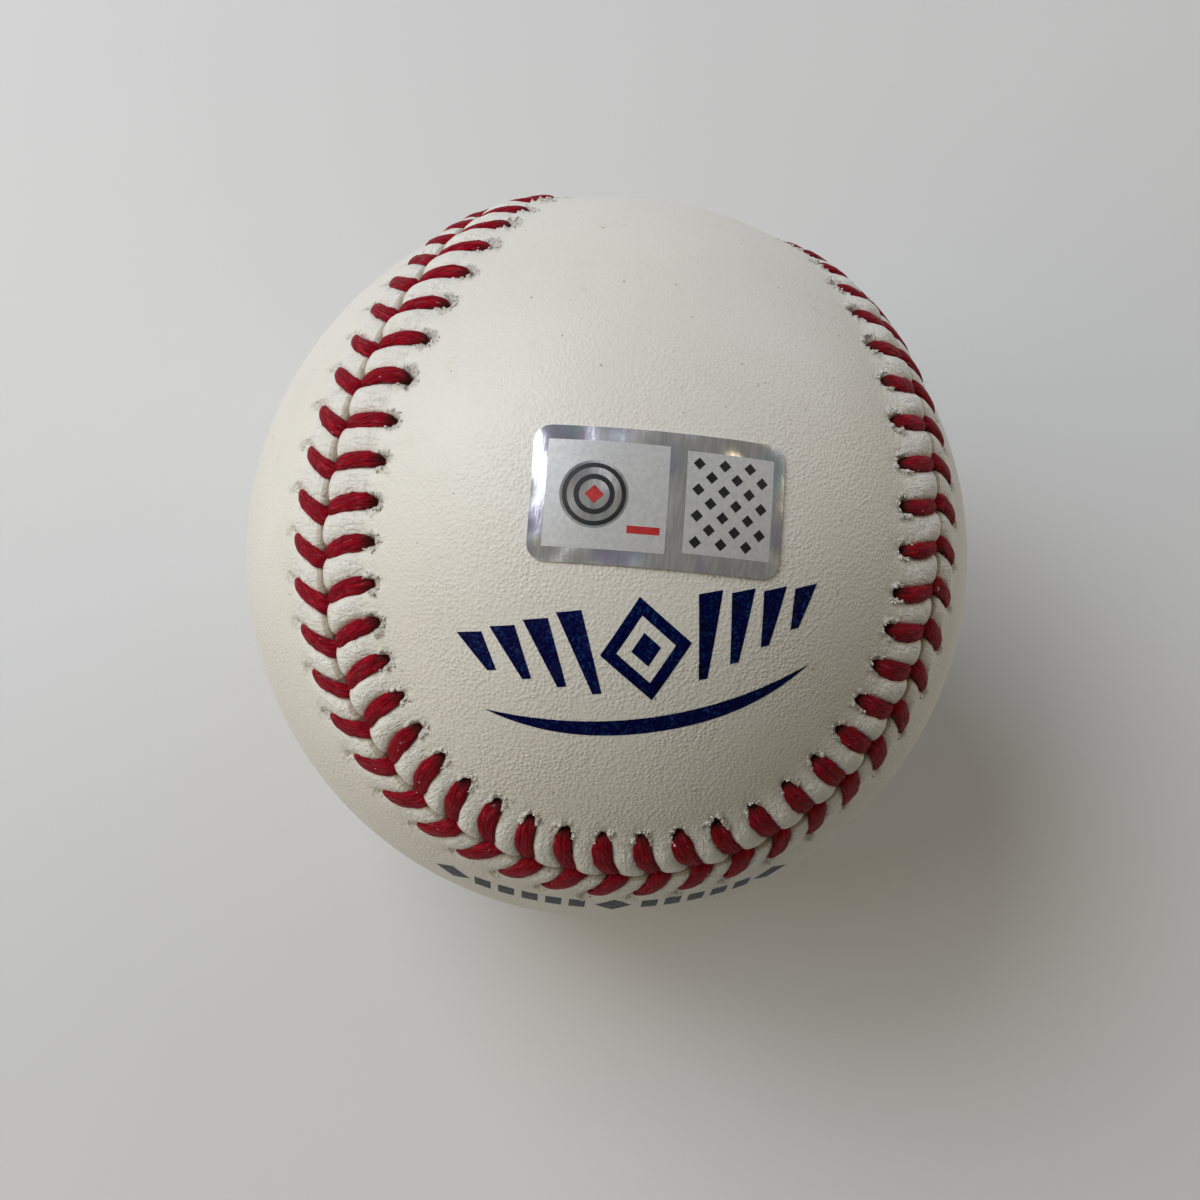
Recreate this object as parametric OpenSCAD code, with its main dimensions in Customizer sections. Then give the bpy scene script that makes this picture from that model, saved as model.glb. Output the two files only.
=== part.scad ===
// Baseball: a cork and rubber core, four wool and cotton windings, a coat of cement,
// two leather panels and the red thread that laces them together.
// Lengths are in millimetres. The origin is the centre of the ball.
// Panel A has its two lobes on +Z and -Z and its waist on +Y.
// Panel B has its two lobes on +X and -X and its waist on -Y.

/* [Ball] */
// Diameter over the leather
ball_d = 74; // [73:0.1:75]
// Thickness of the leather cover
leather_t = 1.3; // [1.2:0.05:1.5]

/* [Seam] */
// Width of a panel across its waist
waist_w = 29.6; // [28.6:0.2:30.6]
// Sway of the seam off a plain wave, in degrees
seam_sway = 22; // [21:0.25:23]
// Open gap between the edges of the panels
gap_w = 1; // [0.9:0.05:1.2]
// Number of double stitches
stitch_count = 108; // [104:2:110]
// Distance of the holes from the middle of the gap
hole_setback = 5.3; // [4.8:0.1:5.6]
// Diameter of a stitch hole
hole_d = 1.2; // [1.1:0.05:1.4]

/* [Pillows] */
// Width of the leather pillow that swells between two legs of thread
pillow_w = 2.5; // [2:0.1:2.6]
// Height of a pillow over the ball
pillow_h = 0.4; // [0.3:0.02:0.44]

/* [Thread] */
// Diameter of the waxed thread where it is round
thread_d = 0.84; // [0.7:0.02:0.88]
// Width of a leg, where the tension flattens the thread
leg_w = 1.6; // [1.3:0.05:1.7]
// Thickness of a leg
leg_t = 0.64; // [0.5:0.02:0.7]
// Room between the thread and the leather
thread_fit = 0.12; // [0.08:0.02:0.2]
// Depth of the relief under the seam that takes the hidden legs
relief_t = 0.62; // [0.56:0.02:0.7]

/* [Core] */
// Diameter of the cork centre
cork_d = 20.6; // [19:0.2:22]
// Thickness of the black rubber halves
inner_rubber_t = 4; // [3:0.1:5]
// Thickness of the ring gasket between the halves
gasket_t = 1.2; // [0.8:0.1:2]
// Thickness of the red rubber layer
outer_rubber_t = 2.4; // [1.5:0.1:3]

/* [Windings] */
// Thickness of the second winding, of white wool
second_winding_t = 1.8; // [1.2:0.1:2.4]
// Thickness of the third winding, of grey wool
third_winding_t = 2.2; // [1.6:0.1:2.8]
// Thickness of the finishing winding, of fine white yarn
finishing_winding_t = 0.5; // [0.3:0.05:0.8]
// Thickness of the coat of cement
cement_t = 0.15; // [0.1:0.05:0.3]
// Room between one layer and the next
layer_fit = 0.05; // [0.03:0.01:0.1]

/* [Label] */
// Length of the foil label
label_w = 20.4; // [16:0.2:24]
// Height of the foil label
label_h = 11; // [8:0.2:13]
// Radius of the corners of the label
label_corner_r = 1.4; // [0.6:0.1:3]
// Thickness of the foil
label_t = 0.12; // [0.08:0.01:0.2]
// Angle from the top of the ball to the label, towards -Y
label_tilt = 11; // [6:0.5:16]
// Turn of the label about its own middle, in degrees
label_turn = 5; // [-10:0.5:20]

/* [Hidden] */

// Radii of the layers: the cover is set from outside, the core from inside,
// and the first winding fills what is left between them.
ball_r = ball_d / 2;
cover_in_r = ball_r - leather_t;
cement_r = cover_in_r - layer_fit;
finishing_r = cement_r - cement_t - layer_fit;
third_r = finishing_r - finishing_winding_t - layer_fit;
second_r = third_r - third_winding_t - layer_fit;
first_r = second_r - second_winding_t - layer_fit;
cork_r = cork_d / 2;
inner_rubber_r = cork_r + layer_fit + inner_rubber_t;
outer_rubber_r = inner_rubber_r + layer_fit + outer_rubber_t;

// Seam: latitude runs from pole to pole twice while longitude goes once round.
// The square share flattens the ends of the lobes.
seam_square_share = 0.041;
seam_peak = 90 - waist_w / 2 / ball_r * 180 / PI;
seam_steps = 720;
// Place of the first stitch along the seam, as a share of one stitch
stitch_start_share = 0.844;
// The thread dips into the gap behind the middle of its stitch, and each panel's
// holes lie further behind it, as shares of one stitch
dip_lag_share = 0.24;
hole_lag_a_share = 0.56;
hole_lag_b_share = 0.88;
// The two threads dip side by side, each this share of a stitch off that place
cross_share = 0.12;

// Cuts reach past the surfaces by this much
overrun = 1;
// The cutters of the panels start well inside and end well outside the leather
reach = 3 * ball_r;
band_in_r = cover_in_r - overrun;
band_out_r = cover_in_r + relief_t + overrun;
band_margin = 1;
panel_half_steps = stitch_count;
band_steps = stitch_count;

// Sphere whose cap is a pillow of the stated width and height
pillow_r = (pow(pillow_w / 2, 2) + pow(pillow_h, 2)) / (2 * pillow_h);
// A pillow goes this deep into the leather
pillow_root = pillow_h;

// Heights of the middle of the thread over the leather, and under it
leg_z = thread_fit + leg_t / 2;
mouth_z = thread_fit + thread_d / 4;
under_z = relief_t / 2 - leather_t;
// A leg turns down over the gap this far short of the middle
lip_v = gap_w * 0.3;
thread_sides = 6;
thread_rings = 5;

big_fn = 144;
small_fn = 24;

// Direction of the seam at turn t, in degrees from 0 to 720
function seam_dir(t) =
    let (lat = seam_peak * ((1 + seam_square_share) * cos(t) - seam_square_share * cos(3 * t)),
        lon = t / 2 + seam_sway * sin(2 * t))
    [cos(lat) * cos(lon), sin(lat), cos(lat) * sin(lon)];

function unit(v) = v / norm(v);

// Direction along the seam, and across it towards panel A
function seam_along(t) = unit(seam_dir(t - 1) - seam_dir(t + 1));
function seam_across(t) = unit(cross(seam_dir(t), seam_along(t)));

// Point near the seam: v is the distance across it, towards panel A, over a ball
// of radius ball_r, and h is the height over that ball
function near_seam(t, v, h) =
    let (a = v / ball_r * 180 / PI)
    (ball_r + h) * (cos(a) * seam_dir(t) + sin(a) * seam_across(t));

// Turn against length along the seam, so that the stitches are spaced evenly
seam_points = [for (i = [0:seam_steps]) seam_dir(720 * i / seam_steps)];
seam_lengths = [for (i = 0, s = 0; i <= seam_steps;
    s = s + (i < seam_steps ? norm(seam_points[i + 1] - seam_points[i]) : 0), i = i + 1) s];
seam_total = seam_lengths[seam_steps];
turn_table = [for (i = [0:seam_steps]) [seam_lengths[i] / seam_total, 720 * i / seam_steps]];

// Turn at stitch u, which may be a fraction and runs round and round
function wrap(x) = x - floor(x);
function stitch_turn(u) = lookup(wrap((stitch_start_share - u) / stitch_count), turn_table);

// Point at stitch u
function at_stitch(u, v, h) = near_seam(stitch_turn(u), v, h);

// Where the leg of stitch i on one panel dips into the gap, and where its hole is
function dip(i, side) = i - dip_lag_share - side * cross_share;
function hole(i, side) = i - (side > 0 ? hole_lag_a_share : hole_lag_b_share);

// Sits a child, drawn along +Z, on the ray through point p
module aim(p) {
    rotate([0, acos(p[2] / norm(p)), atan2(p[1], p[0])])
        children();
}

module ball(r) {
    sphere(r = r, $fn = big_fn);
}

module shell(out_r, in_r) {
    difference() {
        ball(out_r);
        ball(in_r);
    }
}

// Cone from the centre through the outline of panel A, less half of the gap.
// Its outline is two mirrored runs, joined outside the ball by chords along X.
module panel_a_cone() {
    right = [for (i = [0:panel_half_steps])
        reach / ball_r * near_seam(-180 + 360 * i / panel_half_steps, gap_w / 2, 0)];
    left = [for (i = [1:panel_half_steps - 1]) [-right[i][0], right[i][1], right[i][2]]];
    last = panel_half_steps;
    function r(i) = i + 1;
    function l(i) = (i == 0 || i == last) ? r(i) : last + 1 + i;
    sides = [for (i = [0:last - 1]) each [[0, r(i + 1), r(i)], [0, l(i), l(i + 1)]]];
    cap_first = [[r(0), r(1), l(1)]];
    cap_last = [[r(last - 1), r(last), l(last - 1)]];
    cap = [for (i = [1:last - 2])
        each [[r(i), l(i + 1), l(i)], [r(i), r(i + 1), l(i + 1)]]];
    polyhedron(points = concat([[0, 0, 0]], right, left),
        faces = concat(sides, cap_first, cap, cap_last));
}

// Panel B's outline is panel A's, turned so that the lobes change from Z to X
module panel_cone(side) {
    if (side > 0)
        panel_a_cone();
    else
        rotate([0, 90, 0])
            rotate([180, 0, 0])
                panel_a_cone();
}

// Ribbon under the seam, as wide as the hidden legs need
module seam_band() {
    half = hole_setback + hole_d / 2 + band_margin;
    corners = [[half, band_in_r], [half, band_out_r], [-half, band_out_r], [-half, band_in_r]];
    points = [for (i = [0:band_steps - 1]) for (c = corners)
        near_seam(720 * i / band_steps, c[0], c[1] - ball_r)];
    function at(i, k) = (i % band_steps) * 4 + k % 4;
    polyhedron(points = points,
        faces = [for (i = [0:band_steps - 1]) for (k = [0:3])
            each [[at(i, k), at(i, k + 1), at(i + 1, k + 1)],
                [at(i, k), at(i + 1, k + 1), at(i + 1, k)]]]);
}

// Cap of a sphere, sunk a little into the leather
module pillow() {
    intersection() {
        sphere(r = pillow_r, $fn = small_fn * 2);
        translate([0, 0, pillow_r - pillow_h - pillow_root])
            cylinder(r = pillow_w, h = pillow_h + pillow_root + overrun, $fn = small_fn);
    }
}

// Leather swells between the legs of thread, half way from the holes to the gap
module pillows(side) {
    for (i = [0:stitch_count - 1])
        aim(at_stitch((dip(i, side) + hole(i, side) + 1) / 2, side * hole_setback / 2, 0))
            translate([0, 0, ball_r + pillow_h - pillow_r])
                pillow();
}

module stitch_holes(side) {
    for (i = [0:stitch_count - 1])
        aim(at_stitch(hole(i, side), side * hole_setback, 0))
            translate([0, 0, band_in_r])
                cylinder(r = hole_d / 2, h = leather_t + 2 * overrun, $fn = small_fn);
}

// Ball whose poles lie on the other panel
module panel_ball(side, r) {
    rotate(side > 0 ? [-90, 0, -90] : [0, 0, 90])
        ball(r);
}

// One peanut of leather; side is 1 for panel A and -1 for panel B
module cover_panel(side) {
    difference() {
        union() {
            intersection() {
                panel_cone(side);
                difference() {
                    panel_ball(side, ball_r);
                    panel_ball(side, cover_in_r);
                }
            }
            pillows(side);
        }
        intersection() {
            seam_band();
            panel_ball(side, cover_in_r + relief_t);
        }
        stitch_holes(side);
    }
}

module cover_panel_a() {
    color([0.87, 0.85, 0.80])
        cover_panel(1);
}

module cover_panel_b() {
    color([0.80, 0.78, 0.73])
        cover_panel(-1);
}

// Middle of the thread in one stitch: up through the hole on its own side, over the
// leather, down the gap, and on under the other panel to that side's next hole
function leg_points(i, side) =
    [at_stitch(hole(i, side), side * hole_setback, mouth_z),
        at_stitch((dip(i, side) + hole(i, side)) / 2, side * hole_setback / 2, leg_z),
        at_stitch(dip(i, side), side * lip_v, leg_z),
        at_stitch(dip(i, side), -side * lip_v / 3, under_z),
        at_stitch(hole(i + 1, -side), -side * (hole_setback - hole_d / 6), under_z)];

// Half widths along the seam and half thicknesses of the thread at those points
leg_sizes = [[thread_d, thread_d] / 2, [leg_w, leg_t / cos(30)] / 2, [thread_d, leg_t] / 2,
    [thread_d, leg_t] / 2, [thread_d, leg_t] / 2];

// The thread is worked from both ends: each half changes sides at every stitch.
// It starts and ends under the cover, so the last point goes to the front.
module seam_thread(half) {
    count = stitch_count * thread_rings;
    path = [for (n = [-1:count]) let (i = floor(n / thread_rings))
        leg_points(i, (i + half) % 2 == 0 ? 1 : -1)[n - i * thread_rings]];
    function slot(n) = (n - 1 + thread_rings) % thread_rings;
    points = [for (n = [0:count - 1])
        let (here = path[n],
            before = n == 0 ? here - (path[1] - here) : path[n - 1],
            ahead = path[n + 1],
            run = unit(unit(here - before) + unit(ahead - here)),
            along = seam_along(stitch_turn((n - 1) / thread_rings)),
            wide = unit(along - (along * run) * run),
            thick = cross(run, wide),
            size = leg_sizes[slot(n)])
        for (k = [0:thread_sides - 1])
            let (a = 360 * k / thread_sides)
            here + size[0] * cos(a) * wide + size[1] * sin(a) * thick];
    function at(n, k) = n * thread_sides + k % thread_sides;
    walls = [for (n = [0:count - 2]) for (k = [0:thread_sides - 1])
        each [[at(n, k), at(n + 1, k + 1), at(n, k + 1)],
            [at(n, k), at(n + 1, k), at(n + 1, k + 1)]]];
    start_cap = [for (k = [1:thread_sides - 2]) [at(0, 0), at(0, k), at(0, k + 1)]];
    end_cap = [for (k = [1:thread_sides - 2])
        [at(count - 1, 0), at(count - 1, k + 1), at(count - 1, k)]];
    color([0.62, 0.09, 0.14])
        polyhedron(points = points, faces = concat(walls, start_cap, end_cap));
}

module seam_thread_first() {
    seam_thread(0);
}

module seam_thread_second() {
    seam_thread(1);
}

module cork_core() {
    color([0.55, 0.40, 0.26])
        ball(cork_r);
}

// Half a hollow ball of black rubber over the gasket
module inner_rubber_half() {
    color([0.12, 0.12, 0.13])
        intersection() {
            shell(inner_rubber_r, cork_r + layer_fit);
            translate([-inner_rubber_r, -inner_rubber_r, gasket_t / 2 + layer_fit])
                cube([2, 2, 1] * inner_rubber_r);
        }
}

module inner_rubber_upper() {
    inner_rubber_half();
}

module inner_rubber_lower() {
    rotate([180, 0, 0])
        inner_rubber_half();
}

module core_gasket() {
    color([0.60, 0.16, 0.13])
        intersection() {
            shell(inner_rubber_r, cork_r + layer_fit);
            translate([-inner_rubber_r, -inner_rubber_r, -gasket_t / 2])
                cube([2 * inner_rubber_r, 2 * inner_rubber_r, gasket_t]);
        }
}

module outer_rubber_shell() {
    color([0.66, 0.20, 0.16])
        shell(outer_rubber_r, inner_rubber_r + layer_fit);
}

module first_winding() {
    color([0.62, 0.60, 0.57])
        shell(first_r, outer_rubber_r + layer_fit);
}

module second_winding() {
    color([0.90, 0.88, 0.83])
        shell(second_r, first_r + layer_fit);
}

module third_winding() {
    color([0.58, 0.57, 0.55])
        shell(third_r, second_r + layer_fit);
}

module finishing_winding() {
    color([0.93, 0.92, 0.88])
        shell(finishing_r, third_r + layer_fit);
}

module cement_coat() {
    color([0.80, 0.72, 0.56])
        shell(cement_r, finishing_r + layer_fit);
}

// Outline of the label: a rectangle with round corners
function label_outline() =
    [for (c = [[1, 1, 0], [-1, 1, 90], [-1, -1, 180], [1, -1, 270]]) for (k = [0:4])
        let (a = c[2] + 90 * k / 4)
        [c[0] * (label_w / 2 - label_corner_r) + label_corner_r * cos(a),
            c[1] * (label_h / 2 - label_corner_r) + label_corner_r * sin(a)]];

// Foil stuck to the middle of panel A's upper lobe
module foil_label() {
    seat_r = ball_r + layer_fit;
    color([0.72, 0.74, 0.78])
        intersection() {
            shell(seat_r + label_t, seat_r);
            rotate([label_tilt, 0, 0])
                rotate([0, 0, label_turn])
                    linear_extrude(height = 2 * ball_r)
                        polygon(label_outline());
        }
}

cork_core();
inner_rubber_upper();
inner_rubber_lower();
core_gasket();
outer_rubber_shell();
first_winding();
second_winding();
third_winding();
finishing_winding();
cement_coat();
cover_panel_a();
cover_panel_b();
seam_thread_first();
seam_thread_second();
foil_label();
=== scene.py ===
"""Looks of the baseball: leather, thread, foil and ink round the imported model.

Lengths are in millimetres, except in materials and lights, where they are in metres.
"""

import math

import bmesh
import bpy
import numpy as np
from mathutils import Matrix, Vector
from mathutils.geometry import delaunay_2d_cdt


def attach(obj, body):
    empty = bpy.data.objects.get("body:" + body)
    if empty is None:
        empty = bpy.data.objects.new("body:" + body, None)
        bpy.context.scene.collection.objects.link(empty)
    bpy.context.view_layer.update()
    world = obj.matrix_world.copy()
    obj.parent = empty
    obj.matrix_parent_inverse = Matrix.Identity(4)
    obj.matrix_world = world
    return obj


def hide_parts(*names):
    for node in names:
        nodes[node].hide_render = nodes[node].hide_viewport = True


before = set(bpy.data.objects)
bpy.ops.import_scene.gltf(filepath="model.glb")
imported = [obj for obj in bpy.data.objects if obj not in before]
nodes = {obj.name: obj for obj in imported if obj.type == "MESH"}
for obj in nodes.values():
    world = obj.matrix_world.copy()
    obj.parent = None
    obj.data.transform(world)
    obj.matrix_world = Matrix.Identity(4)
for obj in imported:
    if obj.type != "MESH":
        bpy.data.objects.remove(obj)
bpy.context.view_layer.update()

MM = 0.001
BALL_R = 37.0
LEATHER_T = 1.3
# The seam's curve: width of a panel's waist, how far it sways, and how square its bends are
WAIST_W = 29.6
SWAY = 22.0
SQUARE = 0.041
PEAK = 90 - math.degrees(WAIST_W / 2 / BALL_R)
STITCHES = 108
# Share of a stitch by which the first stitch is ahead of the curve's start
START = 0.844

# Camera, found by fitting the seam and the outline of the ball to the photograph. It looks
# along the cross product of up and right.
CAMERA_AT = (-13.006, -46.858, 133.022)
CAMERA_RIGHT = (0.9817, 0.1322, 0.1374)
CAMERA_UP = (-0.1669, 0.9442, 0.2840)
CAMERA_LENS = 39.94

# Tables with the keys 1 and -1 are for panel A and panel B, and so is every side below.
# The legs of thread: where they dip into the gap and where their holes are, in shares of a
# stitch behind the whole number, and how far the holes are from the gap
DIP = {1: -0.38, -1: -0.24}
HOLE = {1: -0.56, -1: -0.88}
HOLE_V = {1: 5.3, -1: 4.9}
# Hand-sewn holes wander along the seam: stitch number, and holes of panel A and of panel B
WANDER = np.array([
    (56, -0.56, -0.88), (61, -0.62, -0.93), (66, -0.60, -0.92), (69, -0.54, -0.89),
    (72, -0.65, -0.87), (75, -0.76, -0.86), (79, -0.80, -0.85), (83, -0.82, -0.84),
    (86, -0.68, -0.81), (88, -0.50, -0.77), (90, -0.42, -0.73), (92, -0.53, -0.68),
    (94, -0.70, -0.62), (96, -0.64, -0.58), (98, -0.58, -0.54), (103, -0.56, -0.80),
    (107, -0.56, -0.88),
])
HOLE_JITTER = 0.025
# Hand-pulled legs are thinner or thicker along the seam: stitch number, and share of the width
# on panel A and on panel B
PULL = np.array([
    (50, 0.88, 0.86), (60, 0.82, 0.82), (68, 0.83, 0.84), (73, 0.88, 0.92), (79, 1.0, 1.02),
    (85, 1.1, 1.1), (91, 1.04, 1.04), (96, 0.88, 0.8), (104, 0.88, 0.86),
])
# Outline of a leg: distance from the middle of the gap, share of the way from the dip to the
# hole, and width along the seam
LEG_PATH = {
    1: [
        (-0.3, 0), (0.4, 0.04), (1, 0.2), (2, 0.5), (3, 0.74), (4, 0.89), (4.7, 0.96),
        (5.3, 1), (7, 1.1),
    ],
    -1: [
        (-0.3, -0.02), (0.3, 0.02), (1, 0.1), (2, 0.27), (3, 0.45), (3.6, 0.58), (4.2, 0.7),
        (4.66, 0.78), (5.3, 1), (7, 1.15),
    ],
}
LEG_WIDTH = {
    1: [
        (-0.3, 0.6), (0.1, 0.75), (0.45, 1.1), (0.9, 1.4), (1.6, 1.6), (3, 1.7), (3.8, 1.66),
        (4.6, 1.5), (5.1, 1.3), (5.5, 1.15), (7, 0.9),
    ],
    -1: [
        (-0.35, 0.95), (-0.15, 1.6), (0.2, 1.84), (0.8, 1.84), (1.6, 1.82), (2.4, 1.8),
        (3.0, 1.72), (3.6, 1.56), (4.1, 1.34), (4.5, 1.1), (5, 0.7), (7, 0.3),
    ],
}


def unit(v):
    return v / np.linalg.norm(v, axis=-1, keepdims=True)


def smooth(x, a, b):
    x = np.clip((x - a) / (b - a), 0, 1)
    return x * x * (3 - 2 * x)


def curve(x, table):
    """Smooth path through the pairs of a table, without overshoot."""
    xs, ys = np.array(table, float).T
    x = np.clip(x, xs[0], xs[-1])
    step = np.diff(ys) / np.diff(xs)
    same = step[1:] * step[:-1] > 0
    inner = np.where(same, 2 * step[1:] * step[:-1] / np.where(same, step[1:] + step[:-1], 1), 0)
    slopes = np.concatenate([[0], inner, [0]])
    i = np.clip(np.searchsorted(xs, x) - 1, 0, len(xs) - 2)
    h = xs[i + 1] - xs[i]
    f = (x - xs[i]) / h
    return (
        (2 * f**3 - 3 * f**2 + 1) * ys[i]
        + (f**3 - 2 * f**2 + f) * h * slopes[i]
        + (3 * f**2 - 2 * f**3) * ys[i + 1]
        + (f**3 - f**2) * h * slopes[i + 1]
    )


def hashed(grid, seed):
    """A number from 0 to 1 for each grid point."""
    n = (grid @ np.array([374761393, 668265263, 1442695041]) + seed * 974634777) & 0xFFFFFFFF
    n = ((n ^ (n >> 13)) * 1274126177) & 0xFFFFFFFF
    return ((n ^ (n >> 16)) & 0xFFFF) / 65535.0


def noise(p, seed):
    """Smooth noise from -1 to 1 at points p."""
    i = np.floor(p).astype(np.int64)
    f = p - i
    f = f * f * (3 - 2 * f)
    out = 0
    for corner in np.ndindex(2, 2, 2):
        share = np.where(corner, f, 1 - f).prod(-1)
        out = out + share * hashed(i + corner, seed)
    return out * 2 - 1


def seam_dir(t):
    """Direction of the seam from the ball's centre at turn t, which runs to 720 degrees."""
    t = np.radians(t)
    lat = math.radians(PEAK) * ((1 + SQUARE) * np.cos(t) - SQUARE * np.cos(3 * t))
    lon = t / 2 + math.radians(SWAY) * np.sin(2 * t)
    return np.stack([np.cos(lat) * np.cos(lon), np.sin(lat), np.cos(lat) * np.sin(lon)], -1)


def run_length(points):
    """Length along a row of points, up to each of them."""
    return np.concatenate([[0], np.cumsum(np.linalg.norm(np.diff(points, axis=0), axis=1))])


turns = np.linspace(0, 720, 7201)
lengths = run_length(seam_dir(turns))
PITCH = lengths[-1] * BALL_R / STITCHES
# Turns panel A's outline into panel B's
TO_B = np.array(
    Matrix.Rotation(math.radians(90), 3, "Y") @ Matrix.Rotation(math.radians(180), 3, "X")
)


def stitch_turn(u):
    """Turn of the seam at stitch u, which may be a fraction."""
    return np.interp(((START - u) / STITCHES) % 1.0 * lengths[-1], lengths, turns)


def seam_frame(t):
    """Directions to the seam at turn t, along it, and across it towards panel A."""
    here = seam_dir(t)
    along = unit(seam_dir(t - 1) - seam_dir(t + 1))
    return here, along, unit(np.cross(here, along))


def near_seam(u, v, h):
    """Points at stitch u, v across the seam towards panel A, and h over the ball."""
    here, _, across = seam_frame(stitch_turn(u))
    a = np.asarray(v)[..., None] / BALL_R
    return (BALL_R + np.asarray(h)[..., None]) * (np.cos(a) * here + np.sin(a) * across)


# Meshes


def mesh_object(name, points, faces, materials=(), attributes=None, smooth_faces=True):
    """An object from points in millimetres and a list of arrays of faces with 3 or 4 corners."""
    mesh = bpy.data.meshes.new(name)
    points = np.asarray(points, float) * MM
    faces = [np.asarray(f, np.int32) for f in faces if len(f)]
    corners = np.concatenate([f.ravel() for f in faces])
    counts = np.concatenate([np.full(len(f), f.shape[1], np.int32) for f in faces])
    mesh.vertices.add(len(points))
    mesh.vertices.foreach_set("co", points.astype(np.float32).ravel())
    mesh.loops.add(len(corners))
    mesh.loops.foreach_set("vertex_index", corners)
    mesh.polygons.add(len(counts))
    starts = np.concatenate([[0], np.cumsum(counts)[:-1]])
    mesh.polygons.foreach_set("loop_start", starts.astype(np.int32))
    mesh.update(calc_edges=True)
    mesh.validate()
    for key, values in (attributes or {}).items():
        values = np.asarray(values, np.float32)
        kind = "FLOAT" if values.ndim == 1 else "FLOAT_VECTOR"
        layer = mesh.attributes.new(key, kind, "POINT")
        layer.data.foreach_set("value" if values.ndim == 1 else "vector", values.ravel())
    if smooth_faces:
        mesh.polygons.foreach_set("use_smooth", np.ones(len(counts), bool))
    obj = bpy.data.objects.new(name, mesh)
    bpy.context.scene.collection.objects.link(obj)
    for m in materials:
        mesh.materials.append(m)
    return obj


def ring_quads(a, b, count):
    """Faces between two closed rings that start at points a and b."""
    i = np.arange(count)
    j = (i + 1) % count
    return np.stack([a + i, a + j, b + j, b + i], 1)


def ring_step(a, b, count, factor):
    """Triangles from a ring of count points at a to a ring of count / factor points at b."""
    few, half = count // factor, factor // 2
    j = np.arange(few)
    k = (j + 1) % few
    out = []
    for n in range(factor):
        fine = j * factor + n
        out.append(np.stack([a + fine, a + (fine + 1) % count, b + (j if n < half else k)], 1))
    out.append(np.stack([a + j * factor + half, b + k, b + j], 1))
    return np.concatenate(out)


# Leather

# Height of a pillow between two legs, and depth of the groove under a leg: distance from the
# middle of the gap, and millimetres
PILLOW_TOP = {
    1: [
        (-0.3, 0.2), (0.12, 0.4), (0.5, 0.65), (1.1, 0.82), (2.2, 0.84), (3.4, 0.64),
        (4.3, 0.38), (5.2, 0.18), (6.2, 0.05), (7.2, 0), (9, 0),
    ],
    -1: [
        (-0.3, 0.1), (0.3, 0.24), (0.8, 0.46), (1.5, 0.6), (2.4, 0.6), (3.4, 0.42),
        (4.2, 0.23), (5.2, 0.08), (6.4, 0.02), (7.2, 0), (9, 0),
    ],
}
GROOVE_DEPTH = [
    (-0.3, 0.3), (0.5, 0.26), (1.5, 0.16), (3, 0.12), (4.5, 0.14), (5.6, 0.12), (6.6, 0.05),
    (7.3, 0), (9, 0),
]
# Share of half a leg's width from which the leather swells up
SWELL_START = 0.68
# The torn pit round a hole: how far it lies beyond HOLE_V, its half sizes along and across the
# seam, its depth, the height of its rim, the reach (in sizes of the pit) and strength of its
# stain, which is partly painted shade in the pit, and the fraying's strength
PIT_SHIFT = {1: 0.02, -1: 0.4}
PIT_SIZE = {1: (0.56, 0.6), -1: (0.27, 0.8)}
PIT_DEPTH = {1: 0.5, -1: 0.22}
LIP_HEIGHT = {1: 0.36, -1: 0.14}
STAIN_AND_PIT_SHADE = {1: (0.98, 0.92), -1: (1.3, 0.5)}
FRAYING = {1: 1, -1: 0.7}
# Where the pit's wall starts and ends, and where its rim is and how wide, in sizes of the pit
PIT_START, PIT_END = 0.7, 1.05
LIP_AT, LIP_WIDTH = 1.45, 0.36


def by_stitch(i, table, side):
    """Value of a table at stitch i, for one panel."""
    return np.interp(i, table[:, 0], table[:, 1 if side > 0 else 2])


def hole_at(i, side):
    """Where the hole of stitch i is along the seam, in stitches."""
    i = np.asarray(i, float) % STITCHES
    own = np.stack([i * 7.3, i * 0 + 5 * side, i * 3.1], -1)
    return by_stitch(i, WANDER, side) + HOLE_JITTER * noise(own, 71)


def leg_width(i, w, side):
    """Width of leg i, w from the gap."""
    i = np.asarray(i, float) % STITCHES
    return curve(w, LEG_WIDTH[side]) * by_stitch(i, PULL, side)


def leg_line(i, w, side):
    """Middle of leg i, w from the gap, in stitches."""
    return i + DIP[side] + (hole_at(i, side) - DIP[side]) * curve(w, LEG_PATH[side])


def legs_beside(u, v, side):
    """The last leg behind each point: its number, its middle, and the next one's middle."""
    middle = DIP[side] + (HOLE[side] - DIP[side]) * curve(v, LEG_PATH[side])
    first = np.floor(u - middle)
    for _ in range(2):
        first = first - (leg_line(first, v, side) > u) + (leg_line(first + 1, v, side) <= u)
    return first, leg_line(first, v, side), leg_line(first + 1, v, side)


def pit_distance(u, v, side, first, point):
    """Way along the seam from the nearest hole, and distance from its pit, in its sizes."""
    centres = np.stack([hole_at(first, side) + first, hole_at(first + 1, side) + first + 1])
    which = np.argmin(np.abs(u - centres), axis=0)
    centre = np.take_along_axis(centres, which[None], 0)[0]
    number = (first + which) % STITCHES
    own = np.stack([number * 3.1, number * 0 + side, number * 1.7], -1)
    size = 1 + 0.2 * noise(own, 8)
    x = (u - centre) * PITCH
    y = v - HOLE_V[side] - PIT_SHIFT[side]
    wide, tall = PIT_SIZE[side]
    rough = 0.3 * noise(point * 1.9, 11) + 0.22 * noise(point * 4.1, 12)
    return x, np.sqrt((x / (wide * size)) ** 2 + (y / (tall * size)) ** 2) * (1 + rough)


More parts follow.
